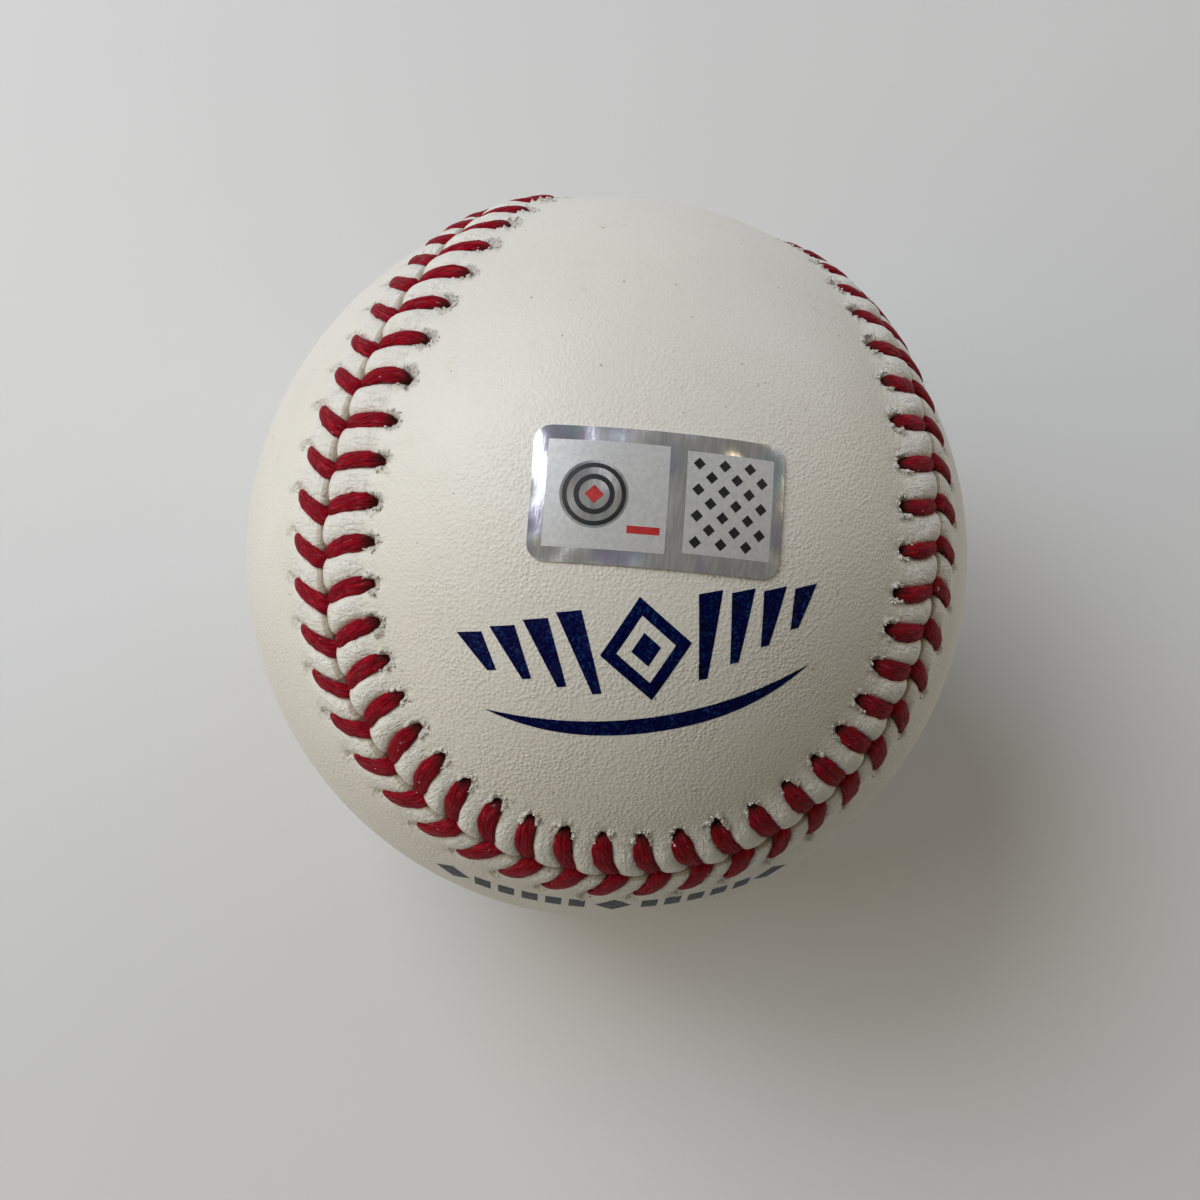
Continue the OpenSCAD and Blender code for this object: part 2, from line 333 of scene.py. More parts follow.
def leather_form(u, v, side):
    """What the leather does near the seam: its height over the ball, and its marks."""
    first, behind, ahead = legs_beside(u, v, side)
    half_leg = leg_width(first, v, side) / 2
    slope = (curve(v + 0.2, LEG_PATH[side]) - curve(v - 0.2, LEG_PATH[side])) / 0.4
    slant = 1 / np.sqrt(1 + ((HOLE[side] - DIP[side]) * PITCH * slope) ** 2)
    near = np.minimum(u - behind, ahead - u) * PITCH
    half_space = (ahead - behind) * PITCH / 2
    foot = SWELL_START * half_leg
    e = np.clip((near - foot) / (half_space - foot), 0, 1)
    swell = np.sqrt(1 - (1 - e) ** 2.4)
    point = np.stack([u * PITCH, v, np.full_like(u, 7.0 * side)], -1)
    wander = 1 + 0.2 * noise(point * 0.3, 3)
    top, low = curve(v, PILLOW_TOP[side]), curve(v, GROOVE_DEPTH)
    h = (-low + (low + top) * swell) * np.where(v < 7, wander, 1)
    ripple = 0.025 * noise(point * np.array([1.1, 3.0, 1.0]), 5)
    h = h + ripple * smooth(v, 0.3, 1.2) * (1 - smooth(v, 4.5, 6.5))
    # Holes: a ragged pit with a torn rim
    x, r = pit_distance(u, v, side, first, point)
    pit = smooth(-r, -PIT_END, -PIT_START)
    lip = np.exp(-(((r - LIP_AT) / LIP_WIDTH) ** 2))
    torn = np.clip(0.5 + 0.9 * noise(point * 3.0, 13) + 0.5 * noise(point * 6.1, 14), 0, 1.4)
    sideways = 0.55 + 0.45 * np.clip(np.abs(x) / 0.5, 0, 1)
    h = h * (1 - pit) - pit * PIT_DEPTH[side] + lip * torn * sideways * LIP_HEIGHT[side]
    h = h - np.exp(-((r / 2.4) ** 2)) * 0.08 * (1 - pit) * (1 - smooth(v, 5.6, 6.8))
    # Stain round the hole, partly dirt and partly painted shade in the pit
    reach, strength = STAIN_AND_PIT_SHADE[side]
    stain_and_pit_shade = np.exp(-((r / reach) ** 4)) * strength
    frayed = np.exp(-(((r - 1.3) / 0.62) ** 2)) * FRAYING[side]
    beside = np.clip(near * slant - half_leg * slant, 0, None)
    dye = np.exp(-((beside / 0.2) ** 2)) * smooth(v, 0, 0.4) * (1 - smooth(v, 4.6, 5.6))
    return h, swell, stain_and_pit_shade, dye, frayed


# Points in a ring of a panel: near the seam, farther off, and inside; and the grid of the arcs
# that fill its middle
COLUMNS = STITCHES * 20
MID_STEP, IN_STEP = 3, 6
MID, IN = COLUMNS // MID_STEP, COLUMNS // IN_STEP
LENS = 240
ARCS_OUT, ARCS_IN = 30, 10
STRIP_R = STITCHES * PITCH / (2 * math.pi)
# A panel's edge: distance from the middle of the gap, and how far a pillow brings it closer
EDGE = 0.5
EDGE_SWELL = {1: 0.36, -1: 0.1}
# Where the swell that shapes the edge is read, and how far from the edge the rim's height is
# read and the next ring may start
SWELL_AT, RIM_AT, NEXT_RING = 0.7, 0.36, 0.38
# Rim of a panel at the gap: pull across the gap, height as a share of the pillow's, and drop
RIM = {
    1: [
        (0.02, 0, -0.66), (0.0, 0, -0.3), (0.0, 0.35, -0.04), (-0.05, 0.72, 0),
        (-0.14, 0.9, 0), (-0.27, 0.98, 0),
    ],
    -1: [
        (0.3, 0, -0.66), (0.28, 0, -0.34), (0.14, 0.1, -0.14), (0.0, 0.5, 0),
        (-0.12, 0.8, 0), (-0.27, 0.97, 0),
    ],
}
# Rows of the rim below this share of the pillow show raw leather and painted shade of the gap,
# and those above it partly
RAW_AND_SHADE_BELOW = 0.4
RAW_AND_SHADE_ABOVE = {1: 0.25, -1: 0.6}
# Rings on the outside, from the edge to where the swell ends, and on to the middle's arcs
NEAR_ROWS = (
    [0.76 + 0.26 * k for k in range(14)] + [4.36 + 0.14 * k for k in range(15)] + [6.55, 6.85, 7.2]
)
MID_ROWS = (7.6, 8.1, 8.6)
ARCS_FROM_OUT, ARCS_FROM_IN = 9.2, 7.4
# Underside: over the thread's channel, and against the cement beyond it
CHANNEL_H = -0.68
CHANNEL_END = (6.9, 7.1)
UNDER_H = -LEATHER_T + 0.02


def marks_of(u, v, found, raw_and_gap_shade):
    """Rows of stain with painted pit shade, dye, raw edge with painted gap shade, fraying, pillow
    with its painted highlight, and place in the strip along the seam.
    """
    _, swell, stain_and_pit_shade, dye, frayed = found
    turn = 2 * np.pi * u / STITCHES
    # The pillows; this mask also paints a highlight, lighter where the leather swells up
    pillow_and_highlight = smooth(v, 0.1, 0.8) * (1 - smooth(v, 4.0, 5.4)) * (0.35 + 0.65 * swell)
    strip_x, strip_y = STRIP_R * np.cos(turn), STRIP_R * np.sin(turn)
    return np.stack([stain_and_pit_shade, dye, 0 * u + raw_and_gap_shade, frayed, pillow_and_highlight, v, strip_x, strip_y], -1)


class Panel:
    """Points of one panel of leather, with what its material reads there."""

    def __init__(self, side):
        self.side = side
        self.points, self.info, self.count = [], [], 0

    def add(self, points, info):
        """Adds points, and gives the number of the first."""
        start = self.count
        self.points.append(points)
        self.info.append(info)
        self.count += len(points)
        return start

    def ring(self, u, v, h, info):
        return self.add(near_seam(u, self.side * v, h), info)

    def lens(self, height, across, v):
        """Fills the middle with arcs between the two mirrored sides: faces, and outer points."""
        t = -180 + 360 * np.arange(LENS + 1) / LENS
        here, _, out = seam_frame(t)
        a = v / BALL_R
        right = np.cos(a) * here + np.sin(a) * out
        left = right * np.array([-1, 1, 1])
        angle = np.arccos(np.clip((right * left).sum(1), -1, 1))[:, None, None]
        f = np.linspace(0, 1, across + 1)[None, :, None]
        safe = np.maximum(np.sin(angle), 1e-9)
        arcs = (np.sin((1 - f) * angle) * right[:, None] + np.sin(f * angle) * left[:, None]) / safe
        arcs = np.where(angle < 1e-6, right[:, None], arcs)
        arcs = (BALL_R + height) * unit(arcs)
        if self.side < 0:
            arcs = arcs @ TO_B.T
        base = self.add(arcs.reshape(-1, 3), np.zeros((arcs.size // 3, 8)))
        i, j = np.meshgrid(np.arange(LENS), np.arange(across), indexing="ij")
        n = base + i * (across + 1) + j
        quads = np.stack([n, n + 1, n + across + 2, n + across + 1], -1).reshape(-1, 4)
        going = base + np.arange(LENS + 1) * (across + 1)
        coming = base + np.arange(1, LENS)[::-1] * (across + 1) + across
        return quads, np.concatenate([going, coming])


def cover(side):
    """A panel of leather as one closed mesh: outside, rim and inside."""
    panel = Panel(side)
    u = np.arange(COLUMNS) * STITCHES / COLUMNS
    swell = leather_form(u, 0 * u + SWELL_AT, side)[1]
    edge = EDGE - EDGE_SWELL[side] * swell
    at_rim = leather_form(u, edge + RIM_AT, side)
    outer, mids, inner = [], [], []
    for pull, share, drop in RIM[side]:
        v = edge - pull * np.where(pull > 0, swell, 1)
        info = marks_of(u, v, at_rim, 1.0 if share < RAW_AND_SHADE_BELOW else RAW_AND_SHADE_ABOVE[side])
        info[:, 0] = 0
        outer.append(panel.ring(u, v, at_rim[0] * share + drop, info))
    for row in NEAR_ROWS:
        v = np.maximum(row, edge + NEXT_RING)
        found = leather_form(u, v, side)
        outer.append(panel.ring(u, v, found[0], marks_of(u, v, found, 0)))
    mid_u = u[::MID_STEP]
    for row in MID_ROWS:
        v = 0 * mid_u + row
        found = leather_form(mid_u, v, side)
        mids.append(panel.ring(mid_u, v, 0 * mid_u, marks_of(mid_u, v, found, 0)))
    outer_quads, outer_rim = panel.lens(0, ARCS_OUT, ARCS_FROM_OUT)
    in_u = u[::IN_STEP]
    rows = ((edge[::IN_STEP], CHANNEL_H), (CHANNEL_END[0], CHANNEL_H), (CHANNEL_END[1], UNDER_H))
    for v, h in rows:
        info = np.zeros((IN, 8))
        info[:, 2] = 1
        inner.append(panel.ring(in_u, v + 0 * in_u, h + 0 * in_u, info))
    inner_quads, inner_rim = panel.lens(UNDER_H, ARCS_IN, ARCS_FROM_IN)
    faces = [ring_quads(a, b, COLUMNS) for a, b in zip(outer, outer[1:])]
    faces += [ring_quads(a, b, MID) for a, b in zip(mids, mids[1:])]
    faces += [ring_quads(b, a, IN) for a, b in zip(inner, inner[1:])]
    faces += [outer_quads, inner_quads[:, ::-1]]
    points, info = np.concatenate(panel.points), np.concatenate(panel.info)
    triangles = [
        ring_step(outer[-1], mids[0], COLUMNS, MID_STEP),
        ring_step(outer[0], inner[0], COLUMNS, IN_STEP)[:, ::-1],
        bridge(points, np.arange(mids[-1], mids[-1] + MID), outer_rim),
        bridge(points, np.arange(inner[-1], inner[-1] + IN), inner_rim)[:, ::-1],
    ]
    # Fraying, and the pillow mask, which also paints a highlight on the pillows
    near = np.stack([info[:, 3], info[:, 4], 0 * info[:, 3]], -1)
    obj = mesh_object(
        "leather_a" if side > 0 else "leather_b",
        points,
        [np.concatenate(faces), np.concatenate(triangles)],
        [MAT["leather"]],
        {"marks": info[:, :3], "near": near, "strip": info[:, 5:8]},
    )
    face_outwards(obj)
    return obj


def local_frame(u, v, side, h):
    """Points near the seam, with the directions along it, away from it, and up."""
    at = near_seam(u, side * v, h)
    up = unit(at)
    _, along, _ = seam_frame(stitch_turn(u))
    away = side * np.cross(up, along)
    return at, along, away, up


# Shreds at each hole, and how far out and how large they are
SHREDS = {1: 15, -1: 6}
SHRED_REACH = {1: 1, -1: 0.62}
SHRED_SCALE = {1: 1, -1: 0.7}
# Corners of a shred of leather, outwards, sideways and up, and its faces
SHRED = [
    (0.17, 0, 0), (0, 0.1, 0.02), (-0.13, 0, 0), (0, -0.1, 0), (0.03, 0.02, 0.17), (0, 0, -0.16),
]
SHRED_FACES = [
    (0, 1, 4), (1, 2, 4), (2, 3, 4), (3, 0, 4), (1, 0, 5), (2, 1, 5), (3, 2, 5), (0, 3, 5),
]


def crumbs(side):
    """Shreds of leather that the needle tore up round the holes."""
    rng = np.random.default_rng(7 + side)
    i = np.repeat(np.arange(STITCHES), SHREDS[side])
    angle = rng.uniform(-0.35 * np.pi, 1.35 * np.pi, len(i))
    reach = rng.uniform(0.68, 1.12, len(i)) * SHRED_REACH[side]
    u = i + hole_at(i, side) + reach * np.cos(angle) * 0.92 / PITCH
    v = HOLE_V[side] + PIT_SHIFT[side] + reach * np.sin(angle) * 1.1
    h = leather_form(u % STITCHES, v, side)[0]
    at, along, away, up = local_frame(u, v, side, h + rng.uniform(-0.03, 0.05, len(i)))
    turn = angle + rng.normal(0, 0.7, len(i))
    out = np.cos(turn)[:, None] * along + np.sin(turn)[:, None] * away
    flat = np.cross(up, out)
    lean = rng.normal(0.35, 0.5, len(i))[:, None]
    rise = unit(up + lean * out)
    scale = rng.uniform(0.7, 1.45, len(i))[:, None] * SHRED_SCALE[side]
    points = []
    for a, b, c in SHRED:
        j = rng.normal(0, 0.022, (3, len(i)))[..., None]
        points.append(at + scale * ((a + j[0]) * out + (b + j[1]) * flat + (c + j[2]) * rise))
    points = np.stack(points, 1)
    base = np.arange(len(i))[:, None] * len(SHRED)
    faces = np.concatenate([base + np.array(c) for c in SHRED_FACES])
    name = "torn_leather_a" if side > 0 else "torn_leather_b"
    points = points.reshape(-1, 3)
    return mesh_object(name, points, [faces], [MAT["torn_leather"]], smooth_faces=False)


def bridge(points, ring_a, ring_b):
    """Triangles between two closed rings that lie close together, walking both at once."""
    a, b = points[ring_a], points[ring_b]
    start = int(np.argmin(np.linalg.norm(b - a[0], axis=1)))
    b_order = np.roll(ring_b, -start)
    bb = points[b_order]
    ahead = np.linalg.norm(bb[len(bb) // 8] - a[len(a) // 8])
    back = np.linalg.norm(bb[-(len(bb) // 8)] - a[len(a) // 8])
    if back < ahead:
        b_order = np.concatenate([b_order[:1], b_order[1:][::-1]])
        bb = points[b_order]
    out, i, j, na, nb = [], 0, 0, len(a), len(bb)
    while i < na or j < nb:
        da = np.linalg.norm(a[(i + 1) % na] - bb[j % nb]) if i < na else math.inf
        db = np.linalg.norm(bb[(j + 1) % nb] - a[i % na]) if j < nb else math.inf
        if da <= db:
            out.append((ring_a[i % na], ring_a[(i + 1) % na], b_order[j % nb]))
            i += 1
        else:
            out.append((ring_a[i % na], b_order[(j + 1) % nb], b_order[j % nb]))
            j += 1
    return np.array(out)


def face_outwards(obj):
    """Welds double points and turns all faces outwards."""
    bm = bmesh.new()
    bm.from_mesh(obj.data)
    bmesh.ops.remove_doubles(bm, verts=bm.verts, dist=1e-7)
    bmesh.ops.recalc_face_normals(bm, faces=bm.faces)
    bm.to_mesh(obj.data)
    bm.free()


# Thread

# Points round a thread, and rings of it between two legs, under the leather, with their height,
# width and thickness
SEGMENTS = 32
HIDDEN = 4
HIDDEN_H, HIDDEN_W, HIDDEN_T = -0.99, 0.8, 0.46
# A leg from its hole to the gap: distance from the middle of the gap, height over the ball,
# and thickness
LEG_RISE = {
    1: [
        (5.14, -1.2, 0.56), (5.14, -0.8, 0.58), (5.12, -0.42, 0.62), (5.04, -0.12, 0.66),
        (4.86, 0.08, 0.7), (4.58, 0.2, 0.72), (4.2, 0.29, 0.76), (3.75, 0.35, 0.78),
        (3.25, 0.39, 0.8), (2.72, 0.41, 0.8), (2.2, 0.41, 0.8), (1.72, 0.39, 0.8),
        (1.3, 0.34, 0.78), (0.94, 0.26, 0.74), (0.64, 0.13, 0.68), (0.44, -0.04, 0.62),
        (0.32, -0.28, 0.56), (0.24, -0.6, 0.5), (0.12, -0.92, 0.46),
    ],
    -1: [
        (4.66, -1.2, 0.46), (4.66, -0.8, 0.46), (4.64, -0.44, 0.48), (4.56, -0.16, 0.5),
        (4.38, 0.0, 0.5), (4.1, 0.11, 0.54), (3.72, 0.21, 0.6), (3.28, 0.28, 0.66),
        (2.8, 0.33, 0.7), (2.3, 0.36, 0.72), (1.78, 0.37, 0.74), (1.26, 0.38, 0.74),
        (0.76, 0.37, 0.72), (0.34, 0.33, 0.68), (0.02, 0.24, 0.62), (-0.14, 0.08, 0.56),
        (-0.22, -0.18, 0.5), (-0.22, -0.54, 0.46), (-0.16, -0.92, 0.46),
    ],
}
# Painted shade on the thread where it dips into a hole: how dark it is, and how far from the
# hole this starts and ends
HOLE_SHADE = {1: 1.0, -1: 0.35}
HOLE_SHADE_FROM, HOLE_SHADE_TO = 0.95, 0.05


def strand_path(half):
    """Way of a thread over and under the leather, with its width, thickness and lift."""
    rng = np.random.default_rng(40 + half)
    u, v, h, wide, thick, lift = [], [], [], [], [], []
    for i in range(STITCHES):
        side = 1 if (i + half) % 2 == 0 else -1
        w, rise, depth = np.array(LEG_RISE[side]).T
        grow = 0.05 * rng.standard_normal()
        raised, drift = 0.025 * rng.standard_normal(), 0.02 * rng.standard_normal()
        over = smooth(rise, -0.2, 0.2)
        u.append(leg_line(i, w, side) + drift * over * np.sin(np.pi * w / 5))
        v.append(side * w)
        h.append(rise + raised * over)
        squeezed = 0.62 + 0.38 * smooth(rise, -0.5, 0.1)
        wide.append(leg_width(i, w, side) * (1 + grow * over) * squeezed)
        thick.append(depth)
        lift.append(over)
        f = (np.arange(HIDDEN) + 0.5) / HIDDEN
        start, end = u[-1][-1], i + 1 + hole_at(i + 1, -side)
        u.append(start + f * (end - start))
        v.append(v[-1][-1] + f * (-side * HOLE_V[-side] - v[-1][-1]))
        h.append(0 * f + HIDDEN_H)
        wide.append(0 * f + HIDDEN_W)
        thick.append(0 * f + HIDDEN_T)
        lift.append(0 * f)
    return (np.concatenate(a) for a in (u, v, h, wide, thick, lift))


def strand(half):
    """One of the two threads, as one closed mesh."""
    u, v, h, wide, thick, lift = strand_path(half)
    centre = near_seam(u, v, h)
    ahead = np.vstack([centre[1:], 2 * centre[-1] - centre[-2]])
    before = np.vstack([2 * centre[0] - centre[1], centre[:-1]])
    run = unit(unit(centre - before) + unit(ahead - centre))
    _, along, _ = seam_frame(stitch_turn(u))
    up = unit(np.cross(run, along))
    length = run_length(centre)[:, None]
    phi = np.linspace(0, 2 * np.pi, SEGMENTS, endpoint=False)[None, :]
    x = np.sign(np.cos(phi)) * np.abs(np.cos(phi)) ** 0.82
    y = np.sign(np.sin(phi)) * np.abs(np.sin(phi)) ** 0.92
    # Bundled fibres: grooves that run down the leg, and frayed sides
    level = 0 * length
    place = np.stack([0.16 * length + 0 * phi, 3.4 * x + 0.3 * length, 1.2 * y + level], -1)
    groove = 0.075 * noise(place, 21) + 0.04 * noise(place * np.array([1.0, 2.3, 2.0]), 22)
    beside = np.stack([1.7 * length + 0 * phi, 1.2 * x + level, 40.0 + level + 0 * phi], -1)
    fray = 0.1 * noise(beside, 23) + 0.06 * noise(beside * 2.3, 24)
    x = wide[:, None] / 2 * x * (1 + fray * lift[:, None])
    y = thick[:, None] / 2 * y * (1 + (groove * 1.7 + fray * 0.6) * lift[:, None])
    points = centre[:, None] + x[..., None] * along[:, None] + y[..., None] * up[:, None]
    count = len(centre)
    quads = [ring_quads(n * SEGMENTS, (n + 1) * SEGMENTS, SEGMENTS) for n in range(count - 1)]
    k = np.arange(1, SEGMENTS - 1)
    last = (count - 1) * SEGMENTS
    caps = np.concatenate([np.stack([0 * k, k + 1, k], 1), np.stack([0 * k, k, k + 1], 1) + last])
    fibre = np.stack([length + 0 * x, x - 0.12 * length, y], -1)
    hole = np.where(v > 0, HOLE_V[1], HOLE_V[-1])
    # Painted shade: the thread darker where it dips into its hole
    hole_shade = smooth(np.abs(v), hole - HOLE_SHADE_FROM, hole - HOLE_SHADE_TO)
    hole_shade = np.where(v > 0, HOLE_SHADE[1], HOLE_SHADE[-1]) * hole_shade
    tips = np.stack([hole_shade[:, None] + 0 * x, 0 * x, 0 * x], -1)
    obj = mesh_object(
        "thread_first" if half == 0 else "thread_second",
        points.reshape(-1, 3),
        [np.concatenate(quads), caps],
        [MAT["thread"]],
        {"fibre": fibre.reshape(-1, 3), "tips": tips.reshape(-1, 3)},
    )
    face_outwards(obj)
    return obj


# Loose fibres of each leg, their radius, and how far from the gap they start
FIBRES = 9
FIBRE_R = 0.022
FIBRE_SPAN = {1: (0.4, 4.4), -1: (0.4, 3.9)}


def fuzz():
    """Loose fibres that stand off the sides of the legs."""
    rng = np.random.default_rng(91)
    points, faces, steps = [], [], 5
    for side in (1, -1):
        i = np.repeat(np.arange(STITCHES), FIBRES)
        w = rng.uniform(*FIBRE_SPAN[side], len(i))
        sign = rng.choice([-1, 1], len(i))
        table = np.array(LEG_RISE[side])[::-1]
        h = np.interp(w, table[:, 0], table[:, 1])
        u = leg_line(i, w, side) + sign * leg_width(i, w, side) * 0.42 / PITCH
        at, along, away, up = local_frame(u, w, side, h)
        heading = sign[:, None] * along + rng.normal(0, 0.9, len(i))[:, None] * away
        heading = unit(heading + rng.uniform(0.15, 0.9, len(i))[:, None] * up)
        bend = rng.normal(0, 0.7, len(i))[:, None] * away
        bend = bend + rng.normal(-0.5, 0.3, len(i))[:, None] * up
        size = rng.uniform(0.35, 1.05, len(i))[:, None]
        for k in range(steps):
            f = k / (steps - 1)
            middle = at + size * (f * heading + 0.5 * f * f * bend)
            thin = FIBRE_R * (1 - 0.6 * f)
            for a in range(3):
                angle = 2 * math.pi * a / 3
                points.append(middle + thin * (math.cos(angle) * along + math.sin(angle) * up))
    each = 3 * steps
    grid = np.concatenate([np.stack(points[:each], 1), np.stack(points[each:], 1)]).reshape(-1, 3)
    base = np.arange(2 * len(i))[:, None] * each
    for k in range(0, each - 3, 3):
        for a, b in ((0, 1), (1, 2), (2, 0)):
            faces.append(base + k + np.array([a, b, b + 3, a + 3]))
    ends = np.concatenate([base + np.array([2, 1, 0]), base + each - 3 + np.array([0, 1, 2])])
    return mesh_object("thread_fuzz", grid, [np.concatenate(faces), ends], [MAT["fuzz"]])


# Materials

MAT = {}


class Shader:
    """A short way to write a material's nodes. Scales are per metre."""

    def __init__(self, name):
        material = MAT[name] = bpy.data.materials.new(name)
        material.use_nodes = True
        self.tree = material.node_tree
        self.tree.nodes.clear()
        out = self.node("ShaderNodeOutputMaterial")
        self.body = self.node("ShaderNodeBsdfPrincipled")
        self.tree.links.new(self.body.outputs[0], out.inputs[0])

    def node(self, kind, inputs=None, **settings):
        n = self.tree.nodes.new(kind)
        for key, value in settings.items():
            setattr(n, key, value)
        for key, value in (inputs or {}).items():
            self.put(n.inputs[key], value)
        return n

    def put(self, socket, value):
        if isinstance(value, bpy.types.NodeSocket):
            self.tree.links.new(value, socket)
        elif socket.type == "RGBA" and len(value) == 3:
            socket.default_value = (*value, 1)
        else:
            socket.default_value = value

    def set(self, **inputs):
        for key, value in inputs.items():
            self.put(self.body.inputs[key.replace("_", " ")], value)

    def place(self):
        return self.node("ShaderNodeTexCoord").outputs["Object"]

    def attribute(self, name):
        return self.node("ShaderNodeAttribute", attribute_name=name).outputs["Vector"]

    def split(self, vector):
        return self.node("ShaderNodeSeparateXYZ", {0: vector}).outputs

    def math(self, operation, a, b=0.0, clamp=False):
        n = self.node("ShaderNodeMath", {0: a, 1: b}, operation=operation, use_clamp=clamp)
        return n.outputs[0]

    def times(self, a, b):
        return self.math("MULTIPLY", a, b)

    def vector(self, operation, a, b):
        return self.node("ShaderNodeVectorMath", {0: a, 1: b}, operation=operation).outputs

    def scaled(self, vector, scale):
        return self.vector("MULTIPLY", vector, scale)[0]

    def noise(self, vector, scale, detail=2.0, rough=0.5, warp=0.0):
        inputs = {"Vector": vector, "Scale": scale, "Detail": detail}
        inputs.update({"Roughness": rough, "Distortion": warp})
        return self.node("ShaderNodeTexNoise", inputs).outputs["Fac"]

    def cells(self, vector, scale):
        inputs = {"Vector": vector, "Scale": scale, "Randomness": 1.0}
        return self.node("ShaderNodeTexVoronoi", inputs, feature="F1").outputs["Distance"]

    def ramp(self, value, low, high, to_low=0.0, to_high=1.0):
        inputs = {"Value": value, "From Min": low, "From Max": high}
        inputs.update({"To Min": to_low, "To Max": to_high})
        n = self.node("ShaderNodeMapRange", inputs, interpolation_type="SMOOTHSTEP")
        return n.outputs[0]

    def mix(self, factor, a, b):
        """Mixes two colours; the inputs 0, 6 and 7 are the factor and the colours."""
        n = self.node("ShaderNodeMix", {0: factor}, data_type="RGBA")
        self.put(n.inputs[6], a)
        self.put(n.inputs[7], b)
        return n.outputs[2]

    def bump(self, height, distance, strength=1.0, normal=None):
        inputs = {"Height": height, "Distance": distance, "Strength": strength}
        if normal is not None:
            inputs["Normal"] = normal
        return self.node("ShaderNodeBump", inputs).outputs[0]


GRAIN_DEPTH = 0.000054
# Leather grows coarser this way across the ball
COARSER = (0.2, -0.95, -0.2)


def grain(s):
    """Height of the pebble grain, the same for leather and ink; it varies across the hide."""
    place = s.place()
    push = s.node("ShaderNodeTexNoise", {"Vector": place, "Scale": 2300.0, "Detail": 1.0})
    shift = s.scaled(push.outputs["Color"], (0.0001,) * 3)
    pebble = s.ramp(s.cells(s.vector("ADD", place, shift)[0], 3200.0), 0.76, 0.04)
    fine = s.noise(place, 4300.0, 3, 0.65)
    across = s.vector("DOT_PRODUCT", place, COARSER)["Value"]
    strong = s.ramp(across, -0.028, 0.022, 0.36, 0.9)
    patchy = s.ramp(s.noise(place, 160, 3), 0.3, 0.7, 0.7, 1.3)
    height = s.math("ADD", s.times(pebble, 0.85), s.times(fine, 0.5))
    return s.times(height, s.times(strong, patchy))


def leather_material():
    s = Shader("leather")
    place = s.place()
    marks = s.split(s.attribute("marks"))
    near = s.split(s.attribute("near"))
    strip = s.attribute("strip")
    broad = s.noise(place, 45.0, 3)
    colour = s.mix(s.ramp(broad, 0.3, 0.7), (0.73, 0.70, 0.64), (0.775, 0.75, 0.69))
    mottle = s.noise(place, 420.0, 3, 0.6)
    colour = s.mix(s.ramp(mottle, 0.55, 0.8, 0, 0.22), colour, (0.6, 0.56, 0.48))
    speck = s.ramp(s.noise(place, 1700.0, 1), 0.775, 0.79)
    colour = s.mix(s.times(speck, 0.6), colour, (0.2, 0.15, 0.1))
    # Torn round the holes: white shreds, and painted shade in the cracks between them
    shreds = s.noise(place, 3300.0, 4, 0.7, 0.6)
    crack_shade = s.times(s.ramp(shreds, 0.5, 0.4), s.ramp(near[0], 0.3, 0.9))
    colour = s.mix(s.ramp(near[0], 0.3, 1.0, 0, 0.5), colour, (0.78, 0.75, 0.69))
    # Painted highlight: the pillows lighter where the leather swells up
    colour = s.mix(s.times(near[1], 0.6), colour, (0.85, 0.83, 0.785))
    colour = s.mix(s.times(crack_shade, 0.5), colour, (0.34, 0.27, 0.19))
    # Stain round the holes, partly dirt and partly painted shade in the pits
    blotch = s.ramp(s.noise(place, 2600.0, 3, 0.7), 0.36, 0.6)
    blotch = s.math("ADD", s.times(blotch, 0.7), 0.45)
    stain_and_pit_shade = s.math("MULTIPLY", marks[0], blotch, clamp=True)
    colour = s.mix(s.ramp(stain_and_pit_shade, 0.2, 0.85, 0, 0.93), colour, (0.15, 0.09, 0.062))
    dye = s.times(marks[1], s.noise(place, 900.0, 3))
    colour = s.mix(s.ramp(dye, 0.2, 0.7, 0, 0.42), colour, (0.56, 0.2, 0.2))
    # Raw leather at the panel's edge, with painted shade of the gap between the panels
    colour = s.mix(s.times(marks[2], 0.85), colour, (0.36, 0.27, 0.17))
    s.set(Base_Color=colour, Roughness=0.46, Subsurface_Weight=0.06, Subsurface_Scale=0.0015)
    s.body.inputs["Subsurface Radius"].default_value = (1.0, 0.7, 0.45)
    wrinkle = s.math("SUBTRACT", s.noise(s.scaled(strip, (2.8, 1.2, 1.2)), 1.0, 4, 0.6, 0.8), 0.5)
    crease = s.math("SUBTRACT", s.noise(s.scaled(strip, (0.8, 2.3, 2.3)), 1.0, 3, 0.6, 1.0), 0.5)
    folds = s.math("ADD", s.times(wrinkle, 0.8), s.times(crease, 1.1))
    folds = s.times(folds, near[1])
    torn = s.times(s.math("SUBTRACT", shreds, 0.5), near[0])
    coarse = s.math("ADD", s.times(folds, 1.3), s.times(torn, 1.7))
    pebbles = s.times(grain(s), s.math("SUBTRACT", 1.0, s.times(near[1], 0.75)))
    first = s.bump(coarse, 0.00019, 1.0)
    s.set(Normal=s.bump(pebbles, GRAIN_DEPTH, 1.0, first))


def torn_material():
    s = Shader("torn_leather")
    place = s.place()
    n = s.noise(place, 4200.0, 3, 0.7)
    colour = s.mix(s.ramp(n, 0.4, 0.6), (0.56, 0.52, 0.46), (0.82, 0.80, 0.76))
    s.set(Base_Color=colour, Roughness=0.8)
    s.set(Normal=s.bump(n, 0.0001, 0.8))


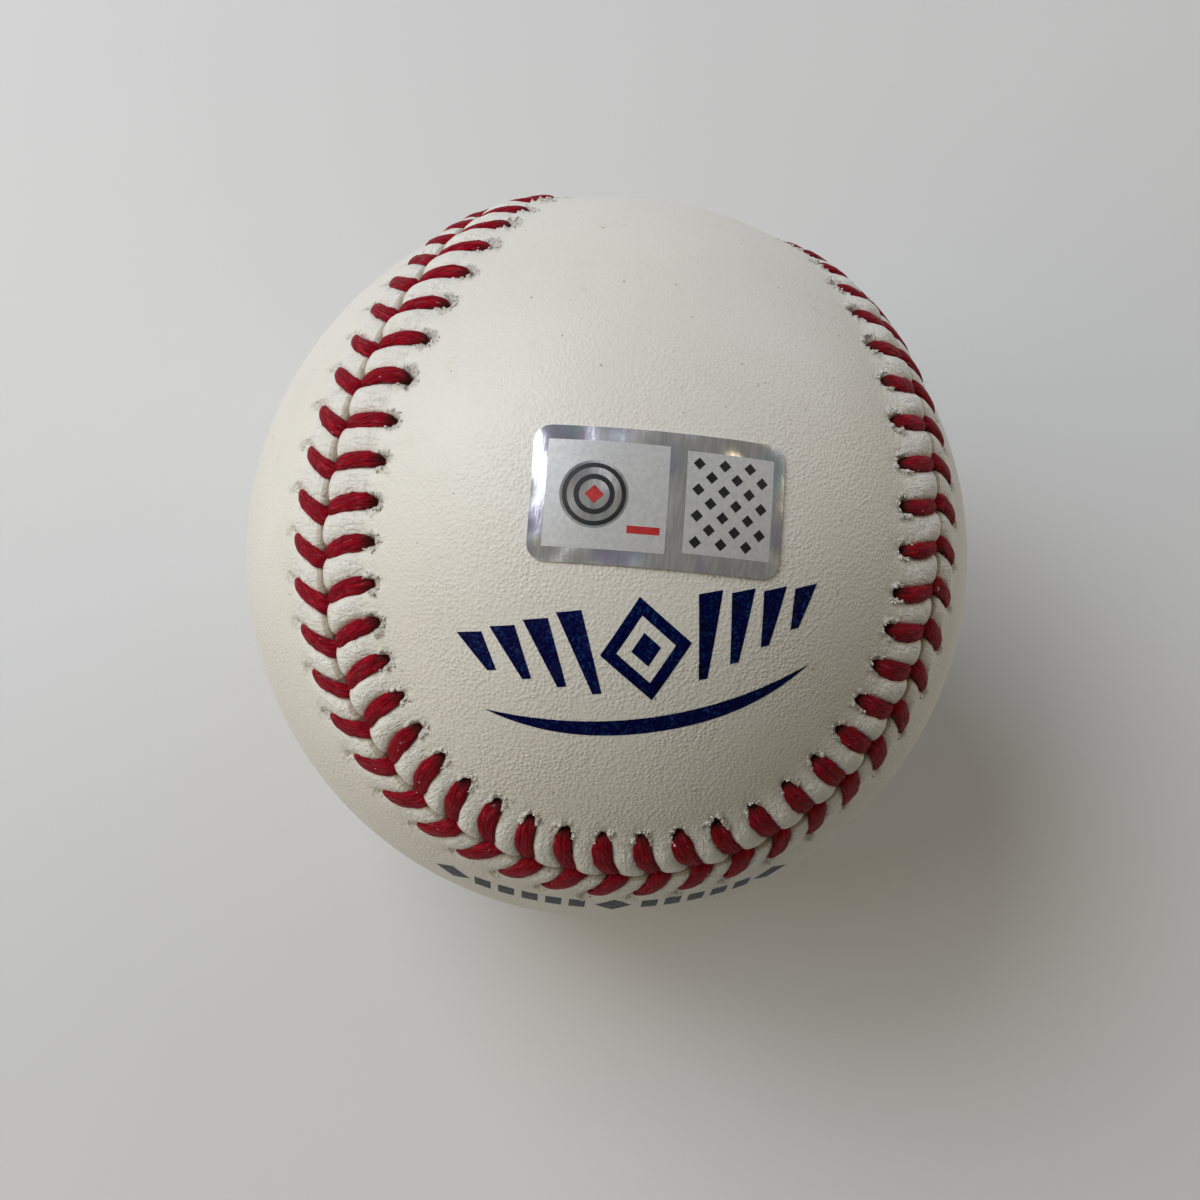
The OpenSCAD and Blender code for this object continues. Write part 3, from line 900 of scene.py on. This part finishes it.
def thread_material():
    s = Shader("thread")
    fibre = s.attribute("fibre")
    lines = s.noise(s.scaled(fibre, (0.7, 6.0, 6.0)), 1.0, 4, 0.65)
    broad = s.noise(s.scaled(fibre, (0.8, 2.2, 2.2)), 1.0, 3)
    colour = s.mix(s.ramp(lines, 0.3, 0.7), (0.12, 0.0006, 0.004), (0.5, 0.004, 0.02))
    colour = s.mix(s.ramp(broad, 0.38, 0.66, 0, 0.55), colour, (0.19, 0.001, 0.012))
    # Painted sheen: pinkish light patches that stand in for highlights on the thread
    painted_sheen = s.ramp(s.noise(s.scaled(fibre, (1.0, 3.6, 3.6)), 1.0, 4, 0.7), 0.5, 0.75, 0, 0.42)
    colour = s.mix(painted_sheen, colour, (0.52, 0.12, 0.16))
    fleck = s.ramp(s.noise(s.scaled(fibre, (1.3, 2.6, 2.6)), 1.0, 1, 0.5), 0.755, 0.785)
    colour = s.mix(s.times(fleck, 0.75), colour, (0.75, 0.62, 0.6))
    # Painted shade where the thread dips into its hole
    hole_shade = s.times(s.split(s.attribute("tips"))[0], s.ramp(broad, 0.3, 0.6, 0.5, 1.3))
    colour = s.mix(s.math("MULTIPLY", hole_shade, 0.8, clamp=True), colour, (0.05, 0.014, 0.012))
    s.set(Base_Color=colour, Roughness=0.45, Specular_IOR_Level=0.06)
    s.set(Normal=s.bump(s.math("ADD", lines, s.times(broad, 0.6)), 0.00034, 1.0))


def fuzz_material():
    s = Shader("fuzz")
    n = s.noise(s.place(), 900.0, 1)
    s.set(Base_Color=s.mix(n, (0.34, 0.05, 0.06), (0.62, 0.36, 0.35)), Roughness=0.7)


def foil_material():
    s = Shader("foil")
    place = s.place()
    hue = s.math("ADD", s.times(s.noise(place, 210.0, 2, 0.5, 1.5), 0.7), 0.3)
    rainbow = s.node("ShaderNodeCombineColor", {0: hue, 1: 0.36, 2: 0.84}, mode="HSV").outputs[0]
    patches = s.ramp(s.noise(place, 170.0, 2), 0.5, 0.66, 0.05, 0.7)
    brushed = s.noise(s.scaled(place, (1.0, 0.12, 0.12)), 4200.0, 2)
    micro = s.noise(place, 3000.0, 2)
    shade = s.mix(s.ramp(brushed, 0.35, 0.65), (0.78, 0.79, 0.81), (0.98, 0.98, 0.99))
    s.set(Base_Color=s.mix(patches, shade, rainbow), Metallic=0.8, Roughness=0.2)
    wave = s.noise(place, 95.0, 2)
    s.set(Normal=s.bump(s.math("ADD", micro, brushed), 0.000014, 0.35, s.bump(wave, 0.0026, 1.0)))


def ink_material(name, colour, light):
    s = Shader(name)
    place = s.place()
    worn = s.ramp(s.noise(place, 3400.0, 3, 0.7), 0.5, 0.68)
    broad = s.ramp(s.noise(place, 500.0, 2), 0.35, 0.7, 0.25, 0.85)
    mixed = s.mix(s.times(worn, broad), colour, light)
    s.set(Base_Color=mixed, Roughness=0.42, Specular_IOR_Level=0.08)
    s.set(Normal=s.bump(grain(s), GRAIN_DEPTH, 1.0))


def plain_material(name, a, b, scale, rough, bump=0.0, metal=0.0):
    """A surface mottled between two colours, for rubber, cork and print."""
    s = Shader(name)
    n = s.noise(s.place(), scale, 5, 0.6)
    s.set(Base_Color=s.mix(s.ramp(n, 0.35, 0.65), a, b), Roughness=rough, Metallic=metal)
    if bump:
        s.set(Normal=s.bump(n, bump, 0.8))


def yarn_material(name, a, b, pitch):
    """Yarn wound in bands that cross in changing directions."""
    s = Shader(name)
    place = s.place()
    height = None
    for k, angle in enumerate(((0.3, 0.5, 0.2), (1.3, 0.2, 1.0), (0.6, 1.4, 2.1))):
        inputs = {"Vector": place, "Rotation": angle}
        turned = s.node("ShaderNodeVectorRotate", inputs, rotation_type="EULER_XYZ").outputs[0]
        z = s.split(turned)[2]
        wave = s.math("ABSOLUTE", s.math("SINE", s.times(z, math.pi / pitch)))
        gate = s.ramp(s.noise(place, 70.0 + 20 * k, 1), 0.45, 0.5)
        height = wave if height is None else s.mix(gate, height, wave)
    fuzz = s.noise(place, 4000.0, 3, 0.7)
    # Colour follows the windings' height: painted shade, darker in the troughs between them
    s.set(Base_Color=s.mix(height, a, b), Roughness=0.9, Sheen_Weight=0.3)
    s.set(Normal=s.bump(s.math("ADD", height, s.times(fuzz, 0.3)), 0.0004, 0.9))


leather_material()
torn_material()
thread_material()
fuzz_material()
foil_material()
ink_material("ink", (0.0005, 0.001, 0.04), (0.012, 0.065, 0.22))
ink_material("faint_ink", (0.05, 0.056, 0.08), (0.17, 0.17, 0.175))
plain_material("label_dark", (0.01, 0.01, 0.012), (0.02, 0.02, 0.024), 900, 0.4)
plain_material("label_red", (0.4, 0.02, 0.025), (0.52, 0.04, 0.035), 900, 0.35)
plain_material("label_grey", (0.53, 0.53, 0.54), (0.61, 0.61, 0.62), 2600, 0.42, 0.00001, metal=0.2)
plain_material("cork", (0.42, 0.26, 0.13), (0.22, 0.12, 0.06), 700, 0.85, 0.0003)
plain_material("black_rubber", (0.018, 0.018, 0.02), (0.03, 0.03, 0.032), 900, 0.6, 0.00005)
plain_material("red_rubber", (0.34, 0.045, 0.035), (0.28, 0.035, 0.03), 500, 0.55, 0.00005)
plain_material("cement", (0.50, 0.40, 0.25), (0.36, 0.26, 0.15), 900, 0.5, 0.0001)
yarn_material("grey_wool", (0.16, 0.155, 0.15), (0.36, 0.35, 0.33), 0.0016)
yarn_material("white_wool", (0.48, 0.45, 0.40), (0.80, 0.78, 0.72), 0.0014)
yarn_material("fine_yarn", (0.52, 0.50, 0.45), (0.86, 0.84, 0.79), 0.0007)


# Decals, with the distance between their points, and the points of an ellipse
STEP = 0.8
ROUND = 48


def decal(name, shapes, centre, right, radius, material):
    """Thin print laid on the ball. A shape is a list of loops; one inside another is a hole."""
    n = unit(np.array(centre, float))
    e1 = np.array(right, float)
    e1 = unit(e1 - (e1 @ n) * n)
    e2 = np.cross(n, e1)
    points, faces = [], []
    for loops in shapes:
        dense = []
        for loop in loops:
            out = []
            for a, b in zip(loop, loop[1:] + loop[:1]):
                cuts = max(1, int(math.dist(a, b) / (STEP * 1.2)))
                dx, dy = b[0] - a[0], b[1] - a[1]
                out += [(a[0] + dx * k / cuts, a[1] + dy * k / cuts) for k in range(cuts)]
            dense.append(out)
        verts, edges = [], []
        for loop in dense:
            base = len(verts)
            verts += [Vector(p) for p in loop]
            edges += [(base + k, base + (k + 1) % len(loop)) for k in range(len(loop))]
        xs, ys = [p[0] for p in dense[0]], [p[1] for p in dense[0]]
        grid = [
            (x, y)
            for x in np.arange(min(xs), max(xs), STEP)
            for y in np.arange(min(ys), max(ys), STEP)
            if inside((x, y), dense)
            and min(math.dist((x, y), q) for loop in dense for q in loop) > STEP * 0.5
        ]
        verts += [Vector(p) for p in grid]
        got, _, tris = delaunay_2d_cdt(verts, edges, [], 0, 1e-6)[:3]
        base = len(points)
        for p in got:
            z = math.sqrt(BALL_R**2 - p.x**2 - p.y**2)
            points.append(radius * unit(p.x * e1 + p.y * e2 + z * n))
        for f in tris:
            mid = sum((got[k] for k in f), Vector((0, 0))) / len(f)
            if inside(mid, dense):
                faces.append([base + k for k in f])
    obj = mesh_object(name, points, [np.array(faces)], [material])
    face_up(obj)
    return obj


def face_up(obj):
    """Turns all faces away from the ball's centre."""
    bm = bmesh.new()
    bm.from_mesh(obj.data)
    for f in bm.faces:
        f.normal_update()
        if f.normal @ Vector(f.calc_center_median()) < 0:
            f.normal_flip()
    bm.to_mesh(obj.data)
    bm.free()


def inside(p, loops):
    """Whether a line from p along x crosses the loops an odd number of times."""
    odd = False
    for loop in loops:
        for a, b in zip(loop, loop[1:] + loop[:1]):
            if (a[1] > p[1]) == (b[1] > p[1]):
                continue
            if p[0] < (b[0] - a[0]) * (p[1] - a[1]) / (b[1] - a[1]) + a[0]:
                odd = not odd
    return odd


def rhombus(x, y, w, h):
    return [(x + w / 2, y), (x, y + h / 2), (x - w / 2, y), (x, y - h / 2)]


def bar(x, y, w, h, lean):
    """A slanted bar with a tapered foot."""
    top, low, thin = y + h / 2, y - h / 2, w * 0.18
    head = [(x - w / 2 + lean, top), (x + w / 2 + lean, top)]
    return head + [(x + thin - lean, low), (x - thin - lean, low)]


def block(x, y, w, h):
    left, right, low, top = x - w / 2, x + w / 2, y - h / 2, y + h / 2
    return [(left, low), (right, low), (right, top), (left, top)]


def ellipse(x, y, w, h):
    angles = [2 * math.pi * k / ROUND for k in range(ROUND)]
    return [(x + w / 2 * math.cos(a), y + h / 2 * math.sin(a)) for a in angles]


# Dark blue motif: a double rhomb between bars, over an arc
INK_R = BALL_R + 0.02
ink_shapes = [[rhombus(0, 0.6, 7.4, 8.6), rhombus(0, 0.6, 4.8, 5.6)], [rhombus(0, 0.6, 2.4, 2.8)]]
for k in range(4):
    height = 7.0 - 1.25 * k
    for flip in (1, -1):
        x = flip * (5.0 + 2.7 * k)
        ink_shapes.append([bar(x, 0.9 + 0.25 * k, 2.0, height, flip * 0.7)])
ARC_REACH, ARC_LOW, ARC_RISE, ARC_T = 13.5, -5.2, 1.9, 1.35
sweep = np.linspace(-1, 1, 33)
arch = [(ARC_REACH * a, ARC_LOW + ARC_RISE * a * a) for a in sweep]
foot = [(x, y - ARC_T * (1 - abs(a) ** 3)) for (x, y), a in zip(arch[1:-1], sweep[1:-1])]
ink_shapes.append([arch + foot[::-1]])
INK_AT, INK_RIGHT = (1.17, -18.73, 31.89), (0.955, 0.245, 0.17)
ink = decal("ink_motif", ink_shapes, INK_AT, INK_RIGHT, INK_R, MAT["ink"])

# Faint grey row of blocks and rhombs under the lower seam
faint_shapes = [[rhombus(x, 0, w, w)] for x, w in ((-15, 3.2), (0, 3.4), (15, 3.2))]
for k in range(5):
    for flip in (1, -1):
        x = flip * (3.4 + 2.2 * k)
        faint_shapes.append([block(x, 0, 1.5, 2.3)])
FAINT_AT, FAINT_RIGHT = (4.4, -35.9, 7.0), (0.99, 0.12, 0.08)
faint = decal("faint_motif", faint_shapes, FAINT_AT, FAINT_RIGHT, INK_R, MAT["faint_ink"])

# Foil label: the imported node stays, and its generic print lies on it
LABEL_TILT, LABEL_TURN = math.radians(11), math.radians(5)
label_turn = Matrix.Rotation(LABEL_TILT, 3, "X") @ Matrix.Rotation(LABEL_TURN, 3, "Z")
label_n, label_e = (np.array(label_turn @ Vector(d)) for d in ((0, 0, 1), (1, 0, 0)))
LABEL_FIT, LABEL_T = 0.05, 0.12
FIELD_R = BALL_R + LABEL_FIT + LABEL_T + 0.01
PRINT_R = FIELD_R + 0.01
TARGET_X, CHECK_X, CHECK_PITCH = -5.2, 5.6, 1.05


def target(*widths):
    return [ellipse(TARGET_X, 0, w, w) for w in widths]


field_shapes = [[block(-4.2, 0, 9.6, 8.6)] + target(5.4), [block(CHECK_X, 0, 7.2, 8.2)]]
grey = decal("label_field", field_shapes, label_n, label_e, FIELD_R, MAT["label_grey"])
dark_shapes = [target(5.0, 4.3), target(3.2, 2.4)]
for i in range(6):
    for j in range(7):
        if (i + j) % 2 == 0:
            x, y = CHECK_X + (i - 2.5) * CHECK_PITCH, (j - 3) * CHECK_PITCH
            dark_shapes.append([rhombus(x, y, 1.0, 1.0)])
dark = decal("label_pattern", dark_shapes, label_n, label_e, PRINT_R, MAT["label_dark"])
red_shapes = [[rhombus(TARGET_X, 0, 1.5, 1.5)], [block(-1.2, -2.6, 2.6, 0.6)]]
red = decal("label_accent", red_shapes, label_n, label_e, PRINT_R, MAT["label_red"])

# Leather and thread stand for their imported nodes; the rest is added to the model
leather, thread = [cover(1), cover(-1)], [strand(0), strand(1)]
replaced = ("cover_panel_a", "cover_panel_b", "seam_thread_first", "seam_thread_second")
for piece, node in zip(leather + thread, replaced):
    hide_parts(node)
leather += [crumbs(1), crumbs(-1), ink, faint]
thread.append(fuzz())
for slot, pieces in (("leather", leather), ("thread", thread), ("foil", (grey, dark, red))):
    for piece in pieces:
        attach(piece, "root")

# Nodes that stay, with better materials
for node, material in (
    ("cork_core", "cork"),
    ("inner_rubber_upper", "black_rubber"),
    ("inner_rubber_lower", "black_rubber"),
    ("core_gasket", "red_rubber"),
    ("outer_rubber_shell", "red_rubber"),
    ("first_winding", "grey_wool"),
    ("second_winding", "white_wool"),
    ("third_winding", "grey_wool"),
    ("finishing_winding", "fine_yarn"),
    ("cement_coat", "cement"),
    ("foil_label", "foil"),
):
    mesh = nodes[node].data
    mesh.materials.clear()
    mesh.materials.append(MAT[material])

# Stage

plain_material("floor", (0.74, 0.74, 0.74), (0.76, 0.76, 0.76), 6, 0.7)
FLOOR_W = 6000
corners = [(x, y, -BALL_R) for x, y in block(0, 0, FLOOR_W, FLOOR_W)]
floor = mesh_object("floor", corners, [[(0, 1, 2, 3)]], [MAT["floor"]])

scene = bpy.context.scene
scene.view_settings.view_transform = "Standard"
scene.view_settings.look = "None"
world = bpy.data.worlds.new("soft_room")
world.use_nodes = True
background = world.node_tree.nodes["Background"]
background.inputs["Color"].default_value = (1.0, 0.94, 0.75, 1)
background.inputs["Strength"].default_value = 0.084
scene.world = world


LIGHT_FAR, LIGHT_SIZE = 0.65, 0.42


def area_light(name, azimuth, elevation, power, colour):
    """A soft round light; its azimuth runs from the picture's left towards its top."""
    light = bpy.data.lights.new(name, "AREA")
    light.shape, light.size, light.energy, light.color = "DISK", LIGHT_SIZE, power, colour
    obj = bpy.data.objects.new(name, light)
    scene.collection.objects.link(obj)
    a, e = math.radians(azimuth), math.radians(elevation)
    level = math.cos(e)
    place = LIGHT_FAR * Vector((-math.cos(a) * level, math.sin(a) * level, math.sin(e)))
    facing = place.to_track_quat("Z", "Y").to_matrix().to_4x4()
    obj.matrix_world = Matrix.Translation(place) @ facing


area_light("window", 26, 45, 2.13, (0.93, 0.954, 1.0))
area_light("window_side", -3, 45, 1.36, (0.89, 0.946, 1.0))
area_light("room_right", 120, 25, 0.72, (0.595, 0.75, 1.0))
area_light("room_far", 150, 25, 0.647, (1.0, 0.81, 0.5))
area_light("room_left", -30, 25, 0.498, (1.0, 0.743, 0.265))

camera_data = bpy.data.cameras.new("camera")
camera_data.lens, camera_data.sensor_width = CAMERA_LENS, 36
camera_data.clip_start = 0.01
camera = bpy.data.objects.new("camera", camera_data)
scene.collection.objects.link(camera)
right, up = Vector(CAMERA_RIGHT), Vector(CAMERA_UP)
back = right.cross(up).normalized()
up = back.cross(right).normalized()
right.normalize()
turn = Matrix((right, up, back)).transposed().to_4x4()
camera.matrix_world = Matrix.Translation(Vector(CAMERA_AT) * MM) @ turn
scene.camera = camera
